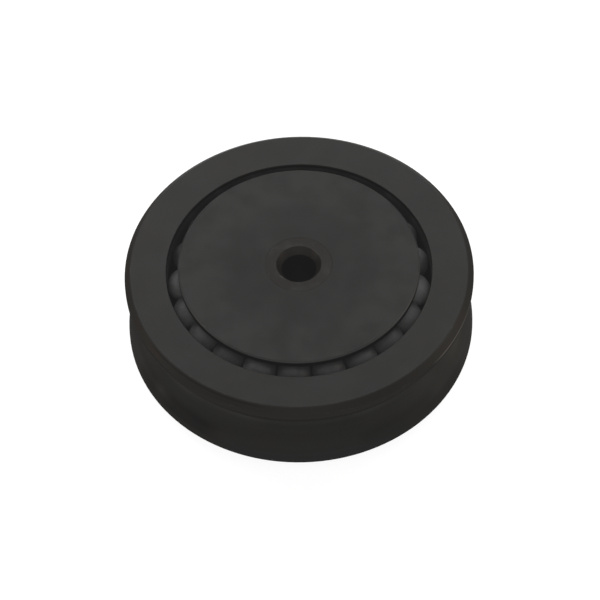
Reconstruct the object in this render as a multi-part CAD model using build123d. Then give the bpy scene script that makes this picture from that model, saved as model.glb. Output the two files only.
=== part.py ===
from build123d import *
import os
from math import acos, cos, degrees, pi, radians, sin, tan

# A wire rope sheave that turns on its own built-in bearing: a steel ring with a
# rope groove outside and two raceways inside, two full rows of loose balls, and
# a hub of two halves closed round a bush. Millimetres. Z is the axle's line and
# the origin is the middle of the bore, halfway between the two faces.

# ---- driving dimensions ----------------------------------------------------
RING_DIAMETER = 65.0
RING_WIDTH = 17.4
RING_CHAMFER = 1.1
MOUTH_DIAMETER = 49.5      # opening in each face that the hub stands in
MOUTH_EDGE = 0.12

ROPE_DIAMETER = 6.0
GROOVE_DEPTH = 4.4
GROOVE_FLARE = 35.0        # each wall's lean, in degrees from square to the axle
GROOVE_LIP_RADIUS = 4.3    # rounds each wall into the rim's narrow land

BALL_DIAMETER = 6.35
BALLS_PER_ROW = 21
PITCH_DIAMETER = 42.8
ROW_HEIGHT = 4.8           # each row's distance from the middle plane
UPPER_ROW_START = 8.6      # angle of the first ball, in degrees
CONTACT_ANGLE = 45.0
RACE_CONFORMITY = 1.04     # race section radius over ball radius
RUNNING_GAP = 0.03         # between a ball and each race along the contact line
RIB_DIAMETER = 44.4        # bore of the rib between the two raceways

HUB_WIDTH = 20.0
HUB_DIAMETER = 45.0
HUB_RIM_HEIGHT = 1.2
HUB_EDGE = 0.25
HALVES_EDGE = 0.3          # bevel where the two hub halves meet

BUSH_DIAMETER = 12.5
BORE_DIAMETER = 6.5
COUNTERSINK_DIAMETER = 8.4
COUNTERSINK_DEPTH = 1.4
SEAM_EDGE = 0.02           # edge break each side of the bush's seam

# ---- worked out from them --------------------------------------------------
ring_r = RING_DIAMETER / 2
ring_top = RING_WIDTH / 2
hub_top = HUB_WIDTH / 2
ball_r = BALL_DIAMETER / 2
pitch_r = PITCH_DIAMETER / 2
race_r = ball_r * RACE_CONFORMITY
race_shift = race_r - ball_r - RUNNING_GAP
race_dr = race_shift * cos(radians(CONTACT_ANGLE))
race_dz = race_shift * sin(radians(CONTACT_ANGLE))
outer_race_centre = (pitch_r - race_dr, ROW_HEIGHT + race_dz)
inner_race_centre = (pitch_r + race_dr, ROW_HEIGHT - race_dz)


def turned(outline):
    """Revolve a closed outline, drawn as (radius, height), about the axle's line."""
    return revolve(Plane.XZ * outline, Axis.Z)


def corners_at(outline, *places):
    """The outline's corners that stand at the given (radius, height) places."""
    return [outline.vertices().sort_by_distance((r, z, 0))[0] for r, z in places]


def ring_bore(side):
    """Edges of the ring's bore from one face to the rib: side is 1 above, -1 below."""
    r, z = outer_race_centre
    rib_angle = degrees(acos((RIB_DIAMETER / 2 - r) / race_r))
    mouth_r = MOUTH_DIAMETER / 2
    mouth = Polyline(
        (mouth_r + MOUTH_EDGE / 2, side * ring_top),
        (mouth_r - MOUTH_EDGE / 2, side * (ring_top - MOUTH_EDGE)),
        (r + race_r, side * z),
    )
    race = CenterArc((r, side * z), race_r, 0, -side * rib_angle)
    return mouth, race


def sheave_ring():
    """Grooved rim and outer races in one piece, with a rib that parts the two rows."""
    groove_r = 0.53 * ROPE_DIAMETER
    flare = radians(GROOVE_FLARE)
    apex_r = ring_r - GROOVE_DEPTH + groove_r - groove_r / sin(flare)
    lip_z = (ring_r - apex_r) * tan(flare)

    upper_mouth, upper_race = ring_bore(1)
    lower_mouth, lower_race = ring_bore(-1)
    rib = Line(upper_race @ 1, lower_race @ 1)
    rim = Polyline(
        lower_mouth @ 0,
        (ring_r - RING_CHAMFER, -ring_top),
        (ring_r, RING_CHAMFER - ring_top),
        (ring_r, -lip_z),
        (apex_r, 0),
        (ring_r, lip_z),
        (ring_r, ring_top - RING_CHAMFER),
        (ring_r - RING_CHAMFER, ring_top),
        upper_mouth @ 0,
    )
    outline = make_face([upper_mouth, upper_race, rib, lower_race, lower_mouth, rim])
    outline = fillet(corners_at(outline, (apex_r, 0)), groove_r)
    outline = fillet(corners_at(outline, (ring_r, lip_z), (ring_r, -lip_z)), GROOVE_LIP_RADIUS)
    return turned(outline)


def upper_hub_half():
    """Flange, inner race and half of the core; its rim overhangs the balls."""
    r, z = inner_race_centre
    core_r = r - race_r
    hub_r = HUB_DIAMETER / 2
    bush_r = BUSH_DIAMETER / 2
    race = CenterArc((r, z), race_r, 180, -90)
    core = Polyline((bush_r, 0), (core_r - HALVES_EDGE, 0), (core_r, HALVES_EDGE), race @ 0)
    flange = Polyline(
        race @ 1,
        (hub_r, hub_top - HUB_RIM_HEIGHT),
        (hub_r, hub_top - HUB_EDGE),
        (hub_r - HUB_EDGE, hub_top),
        (bush_r + SEAM_EDGE, hub_top),
        (bush_r, hub_top - SEAM_EDGE),
        (bush_r, 0),
    )
    return turned(make_face([core, race, flange]))


def hub_bush():
    """Sleeve that carries both hub halves, with its bore countersunk at each end."""
    bush_r = BUSH_DIAMETER / 2
    bore_r = BORE_DIAMETER / 2
    sink_r = COUNTERSINK_DIAMETER / 2
    sink_z = hub_top - COUNTERSINK_DEPTH
    outline = Polyline(
        (bore_r, -sink_z),
        (sink_r, -hub_top),
        (bush_r - SEAM_EDGE, -hub_top),
        (bush_r, SEAM_EDGE - hub_top),
        (bush_r, hub_top - SEAM_EDGE),
        (bush_r - SEAM_EDGE, hub_top),
        (sink_r, hub_top),
        (bore_r, sink_z),
        close=True,
    )
    return turned(make_face(outline))


def ball_row(height, start):
    """A full row of balls, the first one at the start angle."""
    step = 360 / BALLS_PER_ROW
    return [
        Rot(0, 0, start + i * step) * Pos(pitch_r, 0, height) * Sphere(ball_r)
        for i in range(BALLS_PER_ROW)
    ]


def sheave():
    """Every piece of the sheave, by name."""
    upper = upper_hub_half()
    pieces = {
        "sheave_ring": sheave_ring(),
        "upper_hub_half": upper,
        "lower_hub_half": mirror(upper, about=Plane.XY),
        "hub_bush": hub_bush(),
    }
    half_step = 180 / BALLS_PER_ROW
    rows = {
        "upper": ball_row(ROW_HEIGHT, UPPER_ROW_START),
        "lower": ball_row(-ROW_HEIGHT, UPPER_ROW_START + half_step),
    }
    for row, balls in rows.items():
        for number, ball in enumerate(balls, start=1):
            pieces[f"{row}_ball_{number:02d}"] = ball
    return pieces


os.makedirs("parts", exist_ok=True)
for name, piece in sheave().items():
    export_step(piece, f"parts/{name}.step")

ball_gap = 2 * pitch_r * sin(pi / BALLS_PER_ROW) - BALL_DIAMETER
print(f"gap between neighbouring balls {ball_gap:.3f} mm")
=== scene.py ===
import math

import bpy
from mathutils import Matrix, Vector


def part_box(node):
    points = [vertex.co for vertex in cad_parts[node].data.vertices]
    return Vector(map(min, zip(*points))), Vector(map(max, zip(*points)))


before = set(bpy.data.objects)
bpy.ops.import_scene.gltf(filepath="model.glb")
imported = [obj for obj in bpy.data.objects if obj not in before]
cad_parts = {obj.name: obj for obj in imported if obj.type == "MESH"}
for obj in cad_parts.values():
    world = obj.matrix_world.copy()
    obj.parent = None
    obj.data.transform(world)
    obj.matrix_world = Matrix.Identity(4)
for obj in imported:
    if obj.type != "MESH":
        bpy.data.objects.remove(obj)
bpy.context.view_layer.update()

# The frame is in metres. Places and sizes on the sheave are in millimetres below, and
# those of the view and the studio are in metres.
MM = 0.001

# ---- the view ------------------------------------------------------------------
VIEW_ELEVATION = math.radians(52.8)
VIEW_ROLL = math.radians(2.1)
VIEW_DISTANCE = 0.647
VIEW_AIM_RIGHT = 0.0002    # the aim's offset from the middle of the ring's upper face
VIEW_AIM_DOWN = 0.0059
LENS_MM = 208.9
NEAR_CLIP = 0.01

# ---- the studio ----------------------------------------------------------------
FLOOR_SIZE = 6.0
FLOOR_DROP = 0.05 * MM     # keeps the floor clear of the hub's lower face
FLOOR_ALBEDO = 0.18
FLOOR_ROUGHNESS = 0.9
FLOOR_GLOW = 0.92          # the photograph's ground is burnt out to white
DOME_STRENGTH = 0.499
BLACK_LIFT = 0.0103        # the photograph's blacks are lifted
SOFTBOX_DISTANCE = 1.3
WHITE = (1.0, 1.0, 1.0)
WARM = (1.0, 0.90, 0.78)
COOL = (0.97, 1.0, 1.06)
SOFTBOXES = {
    # name: azimuth and elevation in degrees as the sheave sees it, side, radiance, colour
    "back": (90, 30, 0.7, 3.97, WHITE),
    "back_left": (130, 40, 0.8, 4.33, WHITE),
    "back_right": (50, 40, 0.8, 3.57, WHITE),
    "left_low": (185, 3, 0.7, 1.05, WARM),
    "right": (8, 30, 0.9, 0.63, WARM),
    "right_low": (-5, 3, 0.7, 0.63, WARM),
    "front": (265, 25, 0.9, 0.12, COOL),
    "front_high": (270, 50, 0.6, 0.18, WHITE),
}

# ---- linear colours ------------------------------------------------------------
BLACK_OXIDE = (0.0188, 0.0188, 0.0184)
BROWN_OXIDE = (0.0221, 0.0199, 0.0177)
WALL_OXIDE = (0.0200, 0.0197, 0.0185)
# dark oxide for the score and stains, and painted shade in the groove's root and under the upper lip
SHADE_AND_DARK_OXIDE = (0.0095, 0.0088, 0.0082)
RIM_OXIDE = (0.0158, 0.0147, 0.0132)
GREY_RIM = (0.0145, 0.0145, 0.0141)
# painted highlight: a bright streak along the rim below the chamfer
PAINTED_RIM_HIGHLIGHT = (0.082, 0.075, 0.062)
BUSH_OXIDE = (0.0160, 0.0147, 0.0137)
# rubbed oxide in the countersink, and painted light on the rim's right and left sides
RUBBED_OXIDE_AND_SIDE_LIGHT = (0.034, 0.030, 0.027)
GROUND_STEEL = (0.21, 0.21, 0.206)
BARE_EDGE = (0.045, 0.043, 0.040)
WORN_EDGE = (0.048, 0.048, 0.046)
BALL_STEEL = (0.090, 0.089, 0.090)
# painted light: the balls' lower flanks painted lighter
PAINTED_FLANK_LIGHT = (0.17, 0.168, 0.165)
BROWNER = (1.03, 0.97, 0.92)
GREENER = (0.98, 1.01, 0.96)

# ---- clouded oxide: colour, how far its clouds go either way, share of tint ----------
FACE_CLOUDS = (BLACK_OXIDE, 0.08, 0.35)
WALL_CLOUDS = (WALL_OXIDE, 0.10, 0.7)
UPPER_CHAMFER_CLOUDS = (BROWN_OXIDE, 0.12, 0.7)
LOWER_CHAMFER_CLOUDS = (BLACK_OXIDE, 0.10, 0.4)
HUB_CLOUDS = (BLACK_OXIDE, 0.13, 0.35)
BUSH_CLOUDS = (BUSH_OXIDE, 0.10, 0.3)
BUSH_PATCH_CLOUDS = (BLACK_OXIDE, 0.06, 0.3)
COUNTERSINK_CLOUDS = (RUBBED_OXIDE_AND_SIDE_LIGHT, 0.12, 0.4)

# ---- random patterns: feature size, detail, and the values that become 0 and 1 -------
CLOUD = (9.0, 4.0, 0.3, 0.7)
TINT = (7.0, 5.0, 0.42, 0.58)
GRAIN = (0.35, 2.0, 0.35, 0.75)
NICK = (1.6, 3.0, 0.56, 0.70)
HUB_MOTTLE = (4.5, 4.0, 0.35, 0.65)
BUSH_PATCH = (2.4, 3.0, 0.45, 0.72)
BROKEN_LINE = (0.7, 3.0, 0.42, 0.58)
OIL = (2.2, 3.0, 0.3, 0.7)
GRAIN_STRENGTH = 0.25
GRAIN_TONE = -0.2
NICK_STRENGTH = 0.5

# ---- turned rings and gloss ------------------------------------------------------
LATHE_PITCH = 0.14
LATHE_DETAIL = 1.0
LATHE_HEIGHT = 0.0012
GLOSS_PATCH_SIZE = 4.5
GLOSS_PATCH_DETAIL = 3.0
GLOSS_VALUES = (0.3, 0.7)
STEEL_ROUGHNESS = (0.40, 0.04)    # its middle value, and how far it varies either way
BUSH_ROUGHNESS = (0.42, 0.05)
BALL_ROUGHNESS = (0.44, 0.54)     # where the oil's pattern is 0, and where it is 1
RIM_SHINE = 0.4                   # share of the rim that shines as metal
LAND_SHINE = 0.0                  # the same on its outermost land
GRAZING = 0.5
MATT_GLOSS = 0.0

# ---- the ring: how far in from its face or outside a finish starts, and is full ------
RIM_CHAMFER = 1.1
FACE_TURN = (0.03, 0.10)
MATT_RIM = (1.0, 0.2)
LAND = (0.25, 0.05)
RACEWAY_RADII = (7.3, 7.5)
SIDE_RADII = (5.0, 4.5)

# ---- the ring: how far below the chamfer's lower corner it starts, and is full -------
CHAMFER_TURN = (0.05, -0.05)
WALL_TURN = (-0.05, 0.05)

# ---- the ring: heights off the middle plane where it starts, and is full -------------
RACEWAY_HEIGHTS = (8.1, 7.8)
UPPER_END = (0.0, 1.0)
# painted shade in the groove's root, between these heights
ROOT_SHADE_BELOW = (-2.7, -1.2)
ROOT_SHADE_ABOVE = (5.0, 4.0)
GREY_LEVELS = (-1.0, -3.0)

# ---- the ring: heights between which it is full, and its fade outside them -----------
# painted shade under the upper lip
UNDER_LIP = (4.8, 5.9, 0.5)
INNER_WALL = (-2.6, -1.0, 0.9)
LOWER_LIP = (-5.6, -4.1, 0.9)
WHOLE_SIDE = (0.0, 7.4, 0.3)

# ---- the ring: painted shade, pale tone and wear ---------------------------------
ROOT_SHADE = 0.5
UNDER_LIP_SHADE = 0.75
PALE_WALL_TONE = 0.45
SOFT_EDGE_WIDTH = 0.3
SOFT_EDGE_WEAR = 0.7
EDGE_WIDTH = 0.16

# ---- marks that run part of the way round: start, end and fade in degrees from +X ----
# a painted highlight streak on the right of the rim
STREAK_BEARINGS = (-36, -14, 8)
STREAK_DROP = 0.4
STREAK_WIDTH = 0.5
SCORE_BEARINGS = (-145, -108, 8)
SCORE_IN = 0.75
SCORE_DROP = 0.35
SCORE_WIDTH = 0.2
# painted shade under the upper lip, on the near side
SHADE_BEARINGS = (-120, -62, 14)
GREY_BEARINGS = (-112, -60, 15)
BURR_BEARINGS = (-150, -128, 5)
BURR_OUT = 0.1
BURR_WIDTH = 0.22
SEAM_BEARINGS = (-172, -158, 6)
SEAM_IN = 0.1
SEAM_WIDTH = 0.2

# ---- patches of the groove: their bearings, as above, and how strong they are --------
WALL_PATCHES = [((-140, -115, 15), 0.45), ((-65, -40, 10), 0.35)]
# the rim's sides painted lighter towards the right and left, as painted light
PAINTED_LIGHT_SIDES = [((-19, -3, 11), 0.5), ((-168, -162, 11), 0.3)]
LIP_STAINS = [((-139, -127, 10), 1.0), ((-158, -151, 5), 0.6), ((-68, -44, 6), 0.35)]

# ---- the hub -------------------------------------------------------------------
HUB_EDGE = 0.25
UNDER_FLANGE = (1.2, 1.3)              # in from its face, where the ground race begins
WORN_RADII = (0.26, 0.2)               # in from its outside
WORN_HEIGHTS = (0.3, 0.2)              # in from its face
MOTTLE_TONES = (-0.14, 0.12)
MOTTLE_SHARE = 0.5
WANDER_SIZE = 3.0                      # how the borders of the two zones below wander
WANDER_DETAIL = 3.0
WANDER_REACH = 4.0
BROWN_ZONE = (11.0, 8.5, 0.0, 0.4)     # radii where it starts and is full, share at each
DULL_ZONE = (19.0, 13.0, 0.0, 0.55)
BROWN_TONE = 0.03
DULL_TONE = -0.18
SMUDGES = [
    # x, y and size, and how much lighter or darker than the oxide
    (-10.0, -0.5, 6.0, -0.32),
    (-7.0, -5.5, 5.0, -0.25),
    (-1.0, 12.0, 5.0, -0.15),
    (5.0, 9.0, 6.0, -0.12),
    (-6.0, 5.0, 3.0, 0.10),
    (-8.0, -12.0, 3.5, 0.08),
    (2.5, -11.0, 5.0, -0.14),
]
SMUDGE_DETAIL = 3.0
SMUDGE_WANDER = 0.8                    # of its border, as a share of its size
SMUDGE_REACH = 1.4
SMUDGE_STRENGTH = 0.8

# ---- the bush ------------------------------------------------------------------
COUNTERSINK_DIAMETER = 8.4
COUNTERSINK_TURN = (-0.02, 0.05)       # in from the countersink's mouth
# painted shade down inside the bore
BORE_SHADE_HEIGHTS = (8.7, 7.6)
BORE_SHADE_TONE = -0.6
WORN_SEAM_TONE = -0.3

# ---- the balls -----------------------------------------------------------------
OIL_TONES = (-0.35, -0.08)
# painted light, lighter from a ball's top down its flank
FLANK_HEIGHTS = (7.8, 4.8)             # from a ball's top down to its middle
LIGHT_FACINGS = (0.5, -0.7)              # how far the surface faces +Y, for the tones below
# painted light: each ball's copy of the steel is painted lighter or darker, and lighter towards -Y
BALL_SHINE_AND_PAINTED_LIGHT = {
    # brightness (painted light), share that shines as metal, and tones towards +Y and -Y (painted light)
    "plain": (1.05, 0.5, 1.0, 1.0),
    "bright": (0.98, 0.05, 0.55, 2.0),
    "lit": (0.78, 0.05, 0.55, 2.0),
    "fair": (0.60, 0.15, 0.5, 2.2),
    "dull": (0.49, 0.2, 0.6, 2.2),
    "dim": (0.38, 0.2, 0.6, 2.2),
    "palest": (1.30, 0.5, 1.0, 1.0),
    "half_lit": (0.76, 0.5, 0.75, 1.35),
    "hidden": (0.85, 0.5, 0.6, 1.0),
    "peeping": (0.85, 0.3, 1.0, 1.0),
}
PAINT_LIT_BALLS = {
    # every other ball has the plain film; the rest are painted lighter or darker as light falls on them
    "bright": ("upper_ball_21",),
    "lit": ("upper_ball_11",),
    "fair": ("upper_ball_12", "upper_ball_20"),
    "dull": ("upper_ball_13", "upper_ball_19"),
    "dim": ("upper_ball_14",),
    "palest": ("upper_ball_15",),
    "half_lit": ("upper_ball_18",),
    "hidden": ("upper_ball_10",),
    "peeping": ("upper_ball_01", "upper_ball_02"),
}

# ---- places on the sheave, read from the frame -----------------------------------
ring_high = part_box("sheave_ring")[1]
hub_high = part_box("upper_hub_half")[1]
bush_low, bush_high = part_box("hub_bush")
ring_r = ring_high.x / MM
ring_top = ring_high.z / MM
hub_r = hub_high.x / MM
hub_top = hub_high.z / MM
bush_r = bush_high.x / MM
sink_r = COUNTERSINK_DIAMETER / 2
chamfer_r = ring_r - RIM_CHAMFER
chamfer_low = ring_top - RIM_CHAMFER


# ---- node trees ----------------------------------------------------------------
class Tree:
    """A material's node tree, with shorthand for what the finishes share."""

    def __init__(self, name):
        self.material = bpy.data.materials.new(name)
        self.material.use_nodes = True
        self.nodes = self.material.node_tree.nodes
        self.links = self.material.node_tree.links
        self.shader = self.nodes["Principled BSDF"]

    def feed(self, socket, value):
        """Link a socket to another node's output, or set it to a constant."""
        if isinstance(value, bpy.types.NodeSocket):
            self.links.new(value, socket)
        else:
            socket.default_value = value

    def math(self, operation, first, second=0.0):
        """One step of arithmetic."""
        node = self.nodes.new("ShaderNodeMath")
        node.operation = operation
        self.feed(node.inputs[0], first)
        self.feed(node.inputs[1], second)
        return node.outputs[0]

    def product(self, first, second):
        """Two values multiplied: where two masks meet, or a mask made weaker."""
        return self.math("MULTIPLY", first, second)

    def length(self, x, y):
        """How long the vector of x and y is."""
        return self.math("SQRT", self.math("ADD", self.product(x, x), self.product(y, y)))

    def ramp(self, value, start, end, low=0.0, high=1.0):
        """Go smoothly from low to high while the value goes from start to end."""
        node = self.nodes.new("ShaderNodeMapRange")
        node.interpolation_type = "SMOOTHSTEP"
        self.feed(node.inputs["Value"], value)
        for key, number in (("From Min", start), ("From Max", end), ("To Min", low), ("To Max", high)):
            node.inputs[key].default_value = number
        return node.outputs["Result"]

    def window(self, value, start, end, fade):
        """1 between start and end, fading to 0 outside them."""
        return self.product(self.ramp(value, start - fade, start), self.ramp(value, end + fade, end))

    def mix(self, factor, first, second):
        """The first colour where the factor is 0, and the second where it is 1."""
        node = self.nodes.new("ShaderNodeMix")
        node.data_type = "RGBA"
        self.feed(node.inputs[0], factor)
        for socket, colour in ((node.inputs[6], first), (node.inputs[7], second)):
            self.feed(socket, (*colour, 1) if isinstance(colour, tuple) else colour)
        return node.outputs[2]

    def scaled(self, vector, factor):
        """A point or a colour times a factor."""
        node = self.nodes.new("ShaderNodeVectorMath")
        node.operation = "SCALE"
        self.links.new(vector, node.inputs[0])
        self.feed(node.inputs["Scale"], factor)
        return node.outputs[0]

    def split(self, vector):
        """The x, y and z of a vector."""
        node = self.nodes.new("ShaderNodeSeparateXYZ")
        self.links.new(vector, node.inputs[0])
        return node.outputs

    def joined(self, x, y):
        """The vector of x and y."""
        node = self.nodes.new("ShaderNodeCombineXYZ")
        self.links.new(x, node.inputs[0])
        self.links.new(y, node.inputs[1])
        return node.outputs[0]

    def noise(self, place, size, detail):
        """Soft random values from 0 to 1, with features of about the given size."""
        node = self.nodes.new("ShaderNodeTexNoise")
        self.feed(node.inputs["Vector"], place)
        node.inputs["Scale"].default_value = 1 / size
        node.inputs["Detail"].default_value = detail
        return node.outputs["Fac"]

    def pattern(self, size, detail, start, end, strength=1.0):
        """Random patches: 0 where the noise is below start, and full where it is above end."""
        return self.ramp(self.noise(self.point, size, detail), start, end, 0.0, strength)

    def places(self):
        """Set up the point on the piece, with its radius, bearing, height and facing."""
        coordinates = self.nodes.new("ShaderNodeTexCoord")
        self.point = self.scaled(coordinates.outputs["Object"], 1 / MM)
        self.facing = self.split(coordinates.outputs["Normal"])["Y"]
        x, y, z = self.split(self.point)
        self.level = z
        self.height = self.math("ABSOLUTE", z)
        self.radius = self.length(x, y)
        self.bearing = self.math("DEGREES", self.math("ARCTAN2", y, x))
        self.section = self.joined(self.radius, z)
        self.flat = self.joined(x, y)

    def edge(self, radius, height, width):
        """1 on a turned edge, falling to 0 a given width away, on both ends of the sheave."""
        out = self.math("SUBTRACT", self.radius, radius)
        up = self.math("SUBTRACT", self.height, height)
        return self.ramp(self.length(out, up), width, 0.0)

    def mark(self, radius, height, width, bearings):
        """A turned line on the upper end that runs only part of the way round."""
        line = self.product(self.edge(radius, height, width), self.window(self.bearing, *bearings))
        return self.product(line, self.ramp(self.level, *UPPER_END))

    def smudge(self, x, y, size):
        """A soft blotch about a point on the face, with a wandering border."""
        away = self.nodes.new("ShaderNodeVectorMath")
        away.operation = "DISTANCE"
        self.links.new(self.flat, away.inputs[0])
        away.inputs[1].default_value = (x, y, 0)
        uneven = self.noise(self.point, size / 2, SMUDGE_DETAIL)
        wander = self.product(uneven, size * SMUDGE_WANDER)
        distance = self.math("ADD", away.outputs["Value"], wander)
        return self.ramp(distance, size * SMUDGE_REACH, 0.0, 0.0, SMUDGE_STRENGTH)


def shade(colour, amount):
    """A colour made lighter or darker by a share of itself."""
    return tuple(channel * (1 + amount) for channel in colour)


def tinted(colour, tint):
    """A colour times a tint, channel by channel."""
    return tuple(channel * factor for channel, factor in zip(colour, tint))


def inward(place, depths):
    """The two places that lie the given depths in from a face, an outside or a corner."""
    return place - depths[0], place - depths[1]


# ---- finishes ------------------------------------------------------------------
def clouds(t, colour, depth, tinge):
    """Uneven oxide: soft light and dark clouds, browner and greener patches, and a fine grain."""
    toned = t.mix(t.pattern(*CLOUD), shade(colour, -depth), shade(colour, depth))
    tint = t.mix(t.pattern(*TINT), tinted(colour, BROWNER), tinted(colour, GREENER))
    toned = t.mix(tinge, toned, tint)
    return t.mix(t.pattern(*GRAIN, GRAIN_STRENGTH), toned, shade(colour, GRAIN_TONE))


def lathe_marks(t, roughness, spread):
    """Fine turned rings, in the shape and in how sharply the surface shines."""
    rings = t.noise(t.section, LATHE_PITCH, LATHE_DETAIL)
    patches = t.noise(t.point, GLOSS_PATCH_SIZE, GLOSS_PATCH_DETAIL)
    average = t.product(t.math("ADD", rings, patches), 0.5)
    uneven = t.ramp(average, *GLOSS_VALUES, roughness - spread, roughness + spread)
    t.feed(t.shader.inputs["Roughness"], uneven)
    bump = t.nodes.new("ShaderNodeBump")
    bump.inputs["Strength"].default_value = 1.0
    bump.inputs["Distance"].default_value = LATHE_HEIGHT * MM
    t.feed(bump.inputs["Height"], rings)
    t.feed(t.shader.inputs["Normal"], bump.outputs["Normal"])


def metal(t, share):
    """Set how far the surface shines as metal and not as a matt film, with less glare at shallow angles."""
    t.feed(t.shader.inputs["Metallic"], share)
    t.shader.inputs["Specular IOR Level"].default_value = MATT_GLOSS
    t.shader.inputs["Specular Tint"].default_value = (GRAZING, GRAZING, GRAZING, 1)


def nicks(t, colour, first_edge, second_edge):
    """Little rubbed places along two turned edges, where the bare steel shows."""
    line = t.math("MAXIMUM", t.edge(*first_edge, EDGE_WIDTH), t.edge(*second_edge, EDGE_WIDTH))
    return t.mix(t.product(line, t.pattern(*NICK, NICK_STRENGTH)), colour, BARE_EDGE)


def patched(t, colour, mask, patches, other):
    """Another colour on parts of a mask, each part with its bearings and strength."""
    for bearings, strength in patches:
        patch = t.product(mask, t.window(t.bearing, *bearings))
        colour = t.mix(t.product(patch, strength), colour, other)
    return colour


def ring_oxide_and_groove_shade(t, matt, below_face):
    """Black oxide, browner on the upper chamfer, with painted shade deep in the groove, and ground
    raceways.
    """
    colour = t.mix(below_face, clouds(t, *FACE_CLOUDS), clouds(t, *WALL_CLOUDS))
    on_chamfer = t.product(below_face, t.ramp(t.height, *inward(chamfer_low, CHAMFER_TURN)))
    lower = clouds(t, *LOWER_CHAMFER_CLOUDS)
    upper = clouds(t, *UPPER_CHAMFER_CLOUDS)
    colour = t.mix(on_chamfer, colour, t.mix(t.ramp(t.level, *UPPER_END), lower, upper))
    # painted shade deep in the groove's root
    root = t.ramp(t.level, *ROOT_SHADE_BELOW, 0.0, ROOT_SHADE)
    colour = t.mix(t.product(root, t.ramp(t.level, *ROOT_SHADE_ABOVE)), colour, SHADE_AND_DARK_OXIDE)
    inside = t.ramp(t.radius, *inward(ring_r, RACEWAY_RADII))
    colour = t.mix(t.product(t.ramp(t.height, *RACEWAY_HEIGHTS), inside), colour, GROUND_STEEL)
    colour = t.mix(matt, colour, RIM_OXIDE)
    grey = t.product(t.ramp(t.level, *GREY_LEVELS), t.window(t.bearing, *GREY_BEARINGS))
    return t.mix(t.product(grey, matt), colour, GREY_RIM)


def ring_marks_and_painted_light(t, colour, below_face):
    """The ring's painted highlight streak, score, painted shade under the lip, pale and stained patches,
    painted light on its sides, and worn edges.
    """
    # painted highlight: a bright streak on the rim below the chamfer
    streak = t.mark(ring_r, chamfer_low - STREAK_DROP, STREAK_WIDTH, STREAK_BEARINGS)
    colour = t.mix(streak, colour, PAINTED_RIM_HIGHLIGHT)
    score = t.mark(ring_r - SCORE_IN, ring_top - SCORE_DROP, SCORE_WIDTH, SCORE_BEARINGS)
    colour = t.mix(score, colour, SHADE_AND_DARK_OXIDE)
    # painted shade under the upper lip, on the near side
    under_lip = t.product(t.window(t.level, *UNDER_LIP), t.window(t.bearing, *SHADE_BEARINGS))
    colour = t.mix(t.product(under_lip, UNDER_LIP_SHADE), colour, SHADE_AND_DARK_OXIDE)
    inner_wall = t.window(t.level, *INNER_WALL)
    colour = patched(t, colour, inner_wall, WALL_PATCHES, shade(WALL_OXIDE, PALE_WALL_TONE))
    lower_lip = t.window(t.level, *LOWER_LIP)
    colour = patched(t, colour, lower_lip, LIP_STAINS, SHADE_AND_DARK_OXIDE)
    # painted light: the rim's right and left sides painted lighter
    outside = t.ramp(t.radius, *inward(ring_r, SIDE_RADII))
    side = t.product(t.window(t.height, *WHOLE_SIDE), outside)
    colour = patched(t, colour, side, PAINTED_LIGHT_SIDES, RUBBED_OXIDE_AND_SIDE_LIGHT)
    soft_edge = t.product(t.edge(chamfer_r, ring_top, SOFT_EDGE_WIDTH), below_face)
    colour = t.mix(t.product(soft_edge, SOFT_EDGE_WEAR), colour, BARE_EDGE)
    return nicks(t, colour, (chamfer_r, ring_top), (ring_r, chamfer_low))


def ring_finish():
    """The ring's oxide and marks, with painted shade, highlight and light, and a matt rim."""
    t = Tree("ring_black_oxide")
    t.places()
    below_face = t.ramp(t.height, *inward(ring_top, FACE_TURN))
    below_chamfer = t.ramp(t.height, *inward(chamfer_low, WALL_TURN))
    matt = t.product(t.ramp(t.radius, *inward(ring_r, MATT_RIM)), below_chamfer)
    land = t.product(t.ramp(t.radius, *inward(ring_r, LAND)), below_chamfer)
    colour = ring_oxide_and_groove_shade(t, matt, below_face)
    t.feed(t.shader.inputs["Base Color"], ring_marks_and_painted_light(t, colour, below_face))
    lathe_marks(t, *STEEL_ROUGHNESS)
    rim_shine = t.ramp(matt, 0.0, 1.0, 1.0, RIM_SHINE)
    land_shine = t.ramp(land, 0.0, 1.0, 1.0, LAND_SHINE)
    metal(t, t.product(rim_shine, land_shine))
    return t.material


def hub_finish():
    """Blackened face, browner and duller near the bush, with a ground inner race."""
    t = Tree("hub_black_oxide")
    t.places()
    dark, light = MOTTLE_TONES
    mottle = t.mix(t.pattern(*HUB_MOTTLE), shade(BLACK_OXIDE, dark), shade(BLACK_OXIDE, light))
    colour = t.mix(MOTTLE_SHARE, clouds(t, *HUB_CLOUDS), mottle)
    wander = t.product(t.noise(t.point, WANDER_SIZE, WANDER_DETAIL), WANDER_REACH)
    spread = t.math("ADD", t.radius, wander)
    colour = t.mix(t.ramp(spread, *BROWN_ZONE), colour, shade(BUSH_OXIDE, BROWN_TONE))
    colour = t.mix(t.ramp(spread, *DULL_ZONE), colour, shade(BLACK_OXIDE, DULL_TONE))
    for x, y, size, tone in SMUDGES:
        colour = t.mix(t.smudge(x, y, size), colour, shade(BLACK_OXIDE, tone))
    colour = t.mix(t.ramp(t.height, *inward(hub_top, UNDER_FLANGE)), colour, GROUND_STEEL)
    outside = t.ramp(t.radius, *inward(hub_r, WORN_RADII))
    worn = t.product(outside, t.ramp(t.height, *inward(hub_top, WORN_HEIGHTS)))
    colour = t.mix(worn, colour, WORN_EDGE)
    colour = nicks(t, colour, (hub_r - HUB_EDGE, hub_top), (hub_r, hub_top - HUB_EDGE))
    t.feed(t.shader.inputs["Base Color"], colour)
    lathe_marks(t, *STEEL_ROUGHNESS)
    metal(t, 1.0)
    return t.material


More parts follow.
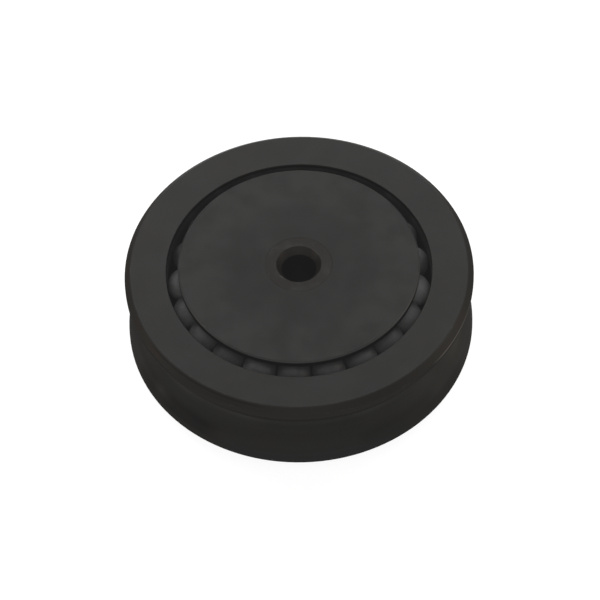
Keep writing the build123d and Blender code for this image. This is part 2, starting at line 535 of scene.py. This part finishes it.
def bush_finish():
    """Brownish oxide, blotched round the bore, with painted shade down inside it."""
    t = Tree("bush_brown_oxide")
    t.places()
    colour = t.mix(t.pattern(*BUSH_PATCH), clouds(t, *BUSH_CLOUDS), clouds(t, *BUSH_PATCH_CLOUDS))
    countersink = t.ramp(t.radius, *inward(sink_r, COUNTERSINK_TURN))
    colour = t.mix(countersink, colour, clouds(t, *COUNTERSINK_CLOUDS))
    # painted shade, darker down inside the bore
    colour = t.mix(t.ramp(t.height, *BORE_SHADE_HEIGHTS), colour, shade(BUSH_OXIDE, BORE_SHADE_TONE))
    colour = nicks(t, colour, (sink_r, hub_top), (bush_r, hub_top))
    broken = t.pattern(*BROKEN_LINE)
    burr = t.product(broken, t.mark(sink_r + BURR_OUT, hub_top, BURR_WIDTH, BURR_BEARINGS))
    seam = t.product(broken, t.mark(bush_r - SEAM_IN, hub_top, SEAM_WIDTH, SEAM_BEARINGS))
    colour = t.mix(t.math("MAXIMUM", burr, seam), colour, shade(BARE_EDGE, WORN_SEAM_TONE))
    t.feed(t.shader.inputs["Base Color"], colour)
    lathe_marks(t, *BUSH_ROUGHNESS)
    metal(t, 1.0)
    return t.material


def ball_finish(name, brightness, shine, back_tone, front_tone):
    """Hard bright steel under a thin uneven film of oil, with painted light: lighter down the flank and
    towards -Y, and lighter or darker for each ball.
    """
    t = Tree(name)
    t.places()
    oil = t.pattern(*OIL)
    dark, light = OIL_TONES
    colour = t.mix(oil, shade(BALL_STEEL, dark), shade(BALL_STEEL, light))
    # painted light: lighter down the flank, and towards -Y by each ball's tones
    colour = t.mix(t.ramp(t.height, *FLANK_HEIGHTS), colour, PAINTED_FLANK_LIGHT)
    run = t.ramp(t.facing, *LIGHT_FACINGS, back_tone * brightness, front_tone * brightness)
    t.feed(t.shader.inputs["Base Color"], t.scaled(colour, run))
    t.feed(t.shader.inputs["Roughness"], t.ramp(oil, 0.0, 1.0, *BALL_ROUGHNESS))
    metal(t, shine)
    return t.material


def dress():
    """Give each CAD node its finish."""
    hub = hub_finish()
    finishes = {
        "sheave_ring": ring_finish(),
        "upper_hub_half": hub,
        "lower_hub_half": hub,
        "hub_bush": bush_finish(),
    }
    ball = ball_finish("ball_steel", *BALL_SHINE_AND_PAINTED_LIGHT["plain"])
    # each listed ball gets its lit or shaded copy, painted lighter or darker
    for film, names in PAINT_LIT_BALLS.items():
        finishes.update(dict.fromkeys(names, ball_finish("ball_steel_" + film, *BALL_SHINE_AND_PAINTED_LIGHT[film])))
    for name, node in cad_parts.items():
        for slot in node.material_slots:
            slot.material = finishes.get(name, ball)


# ---- the photograph's view and light ---------------------------------------------
def camera():
    """High over the near rim, through a long lens, slightly rolled."""
    right = Vector((1, 0, 0))
    forward = Vector((0, math.cos(VIEW_ELEVATION), -math.sin(VIEW_ELEVATION)))
    up = right.cross(forward)
    rolled_right = right * math.cos(VIEW_ROLL) - up * math.sin(VIEW_ROLL)
    rolled_up = right * math.sin(VIEW_ROLL) + up * math.cos(VIEW_ROLL)
    face_centre = Vector((0, 0, ring_high.z))
    place = face_centre - forward * VIEW_DISTANCE
    aim = face_centre + rolled_right * VIEW_AIM_RIGHT - rolled_up * VIEW_AIM_DOWN
    back = (place - aim).normalized()
    side = rolled_up.cross(back).normalized()
    top = back.cross(side)
    data = bpy.data.cameras.new("camera")
    data.lens = LENS_MM
    data.clip_start = NEAR_CLIP
    obj = bpy.data.objects.new("camera", data)
    obj.matrix_world = Matrix.Translation(place) @ Matrix((side, top, back)).transposed().to_4x4()
    bpy.context.scene.collection.objects.link(obj)
    bpy.context.scene.camera = obj


def floor():
    """A plain pale floor under the sheave."""
    bpy.ops.mesh.primitive_plane_add(size=FLOOR_SIZE, location=(0, 0, bush_low.z - FLOOR_DROP))
    plane = bpy.context.object
    plane.name = "floor"
    t = Tree("floor_paint")
    t.shader.inputs["Base Color"].default_value = (FLOOR_ALBEDO, FLOOR_ALBEDO, FLOOR_ALBEDO, 1)
    t.shader.inputs["Roughness"].default_value = FLOOR_ROUGHNESS
    t.shader.inputs["Specular IOR Level"].default_value = 0.0
    t.shader.inputs["Emission Color"].default_value = (*WHITE, 1)
    t.shader.inputs["Emission Strength"].default_value = FLOOR_GLOW
    plane.data.materials.append(t.material)


def softbox(name, azimuth, elevation, side, radiance, colour):
    """A square soft light that looks at the sheave."""
    around = math.radians(azimuth)
    up = math.radians(elevation)
    flat = math.cos(up)
    towards = Vector((flat * math.cos(around), flat * math.sin(around), math.sin(up)))
    data = bpy.data.lights.new(name, "AREA")
    data.shape = "SQUARE"
    data.size = side
    data.energy = radiance * math.pi * side * side
    data.color = colour
    obj = bpy.data.objects.new(name, data)
    obj.location = towards * SOFTBOX_DISTANCE
    obj.rotation_mode = "QUATERNION"
    obj.rotation_quaternion = towards.to_track_quat("Z", "Y")
    bpy.context.scene.collection.objects.link(obj)


def dome():
    """An even pale surround."""
    world = bpy.data.worlds.new("studio")
    bpy.context.scene.world = world
    world.use_nodes = True
    background = world.node_tree.nodes["Background"]
    background.inputs["Color"].default_value = (*WHITE, 1)
    background.inputs["Strength"].default_value = DOME_STRENGTH


def studio():
    """The photograph's tones, an even surround and the softboxes."""
    view = bpy.context.scene.view_settings
    view.view_transform = "Standard"
    view.use_curve_mapping = True
    view.curve_mapping.black_level = (-BLACK_LIFT, -BLACK_LIFT, -BLACK_LIFT)
    view.curve_mapping.update()
    dome()
    for name, placing in SOFTBOXES.items():
        softbox("softbox_" + name, *placing)


dress()
camera()
floor()
studio()
